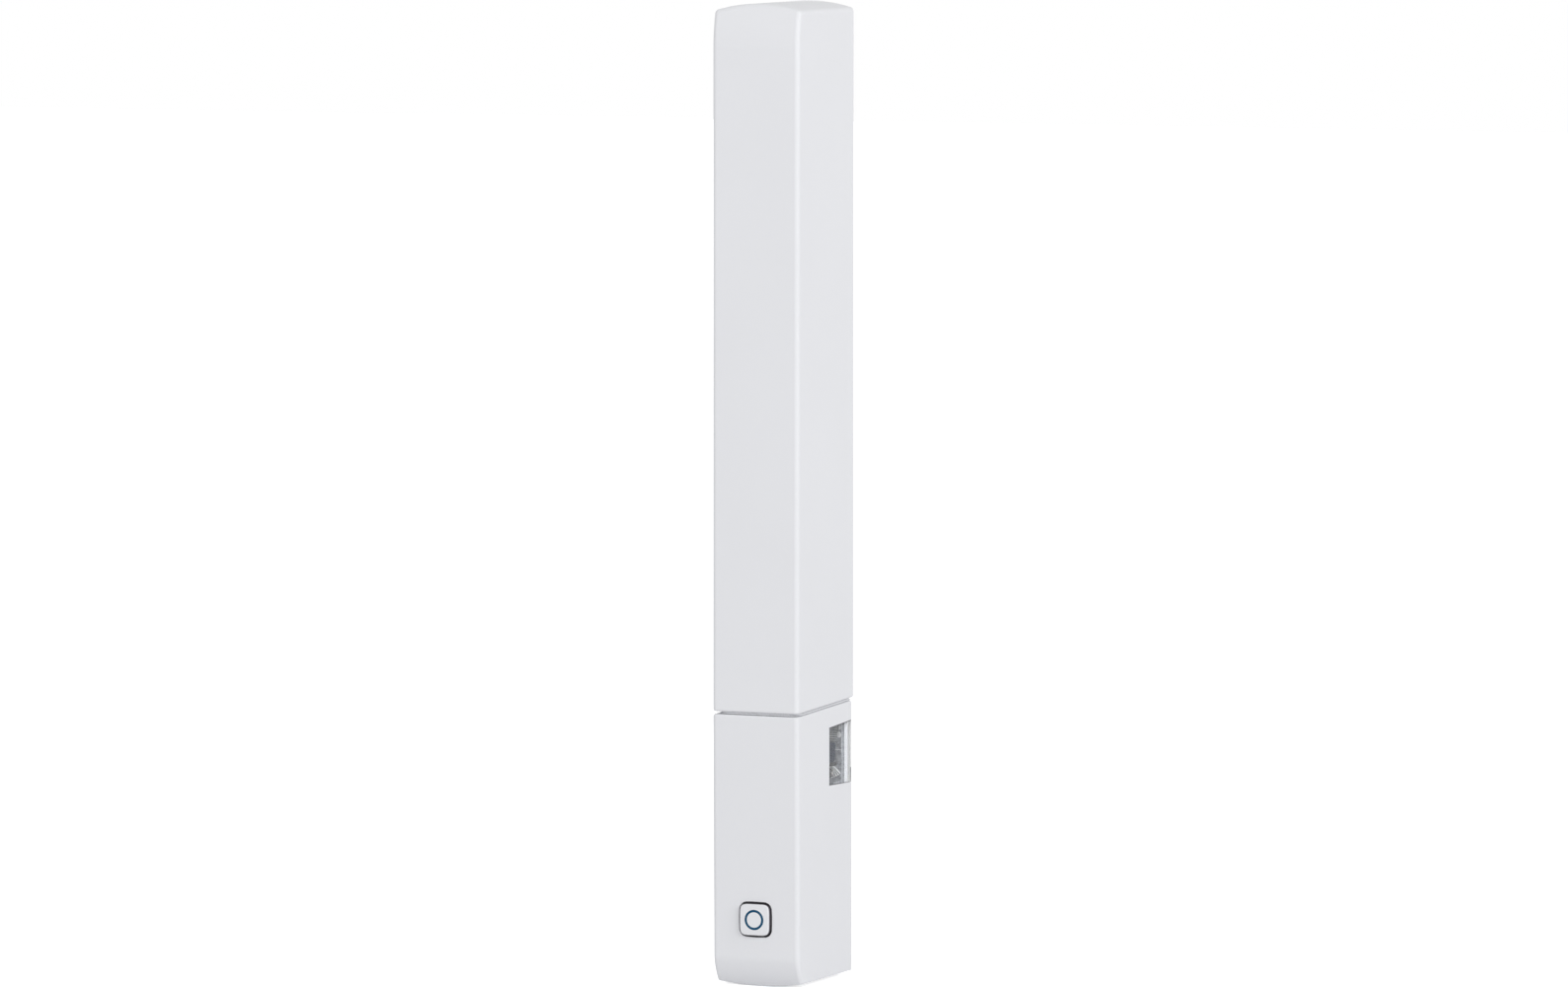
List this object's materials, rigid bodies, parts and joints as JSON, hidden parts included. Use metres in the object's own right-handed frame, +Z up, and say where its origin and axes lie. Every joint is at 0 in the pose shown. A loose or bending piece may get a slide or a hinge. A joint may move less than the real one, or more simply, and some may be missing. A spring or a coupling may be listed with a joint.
{
  "type": "optical door and window contact",
  "caption": "Slim upright door sensor with a sliding battery cap, a push key on the front and a clear optical window in the side.",
  "frame": {"origin": "centre of the back mounting face, half way up", "axes": "+Y out of the back mounting face, +Z up along the length, +X to the side with the clear window"},
  "size_m": [0.014, 0.0213, 0.1466],
  "materials": {
    "white_shell": "fine satin moulding",
    "white_frame": "satin moulding",
    "dark_plastic": "satin",
    "grey_plastic": "satin",
    "reflector_white": "gloss",
    "mark_blue": "satin print",
    "clear_plastic": "polished clear",
    "filter_black": "gloss",
    "chip_black": "moulded epoxy",
    "board_mask": "solder mask",
    "cell_sleeve": "shrunk film",
    "plated_steel": "nickel plate",
    "aluminium_can": "drawn can",
    "antenna_brass": "stamped",
    "screw_steel": "zinc plate",
    "strip_foam": "closed foam"
  },
  "bodies": {
    "base": {"lower_housing": "white_shell", "carrier": "white_frame", "lower_cell": "cell_sleeve", "upper_cell": "cell_sleeve", "lower_contact": "plated_steel", "top_contact": "plated_steel", "bridge_contact": "plated_steel", "lower_spring": "plated_steel", "upper_spring": "plated_steel", "circuit_board": "board_mask", "antenna": "antenna_brass", "tact_switch": "dark_plastic", "indicator_led": "clear_plastic", "microcontroller": "chip_black", "crystal": "plated_steel", "buffer_capacitor": "aluminium_can", "radio_module": "plated_steel", "sensor_window": "clear_plastic", "infrared_receiver": "filter_black", "infrared_emitter": "clear_plastic", "sensor_holder": "grey_plastic", "reflector_fan": "reflector_white", "light_barrier": "dark_plastic", "board_screw_low": "screw_steel", "board_screw_high": "screw_steel", "housing_screw": "screw_steel", "adhesive_strip": "strip_foam"},
    "cap": {"battery_cap": "white_shell"},
    "button": {"key": "dark_plastic", "key_face": "white_shell", "key_ring": "mark_blue", "push_rod": "clear_plastic", "switch_plunger": "dark_plastic"}
  },
  "joints": [
    {"name": "cap_slide", "type": "slide", "parent": "base", "child": "cap", "axis": [0, 0, 1], "range_m": [0, 0.09]},
    {"name": "key_press", "type": "slide", "parent": "base", "child": "button", "axis": [0, 1, 0], "range_m": [0, 0.00035], "stiffness_N_per_m": 2500}
  ]
}
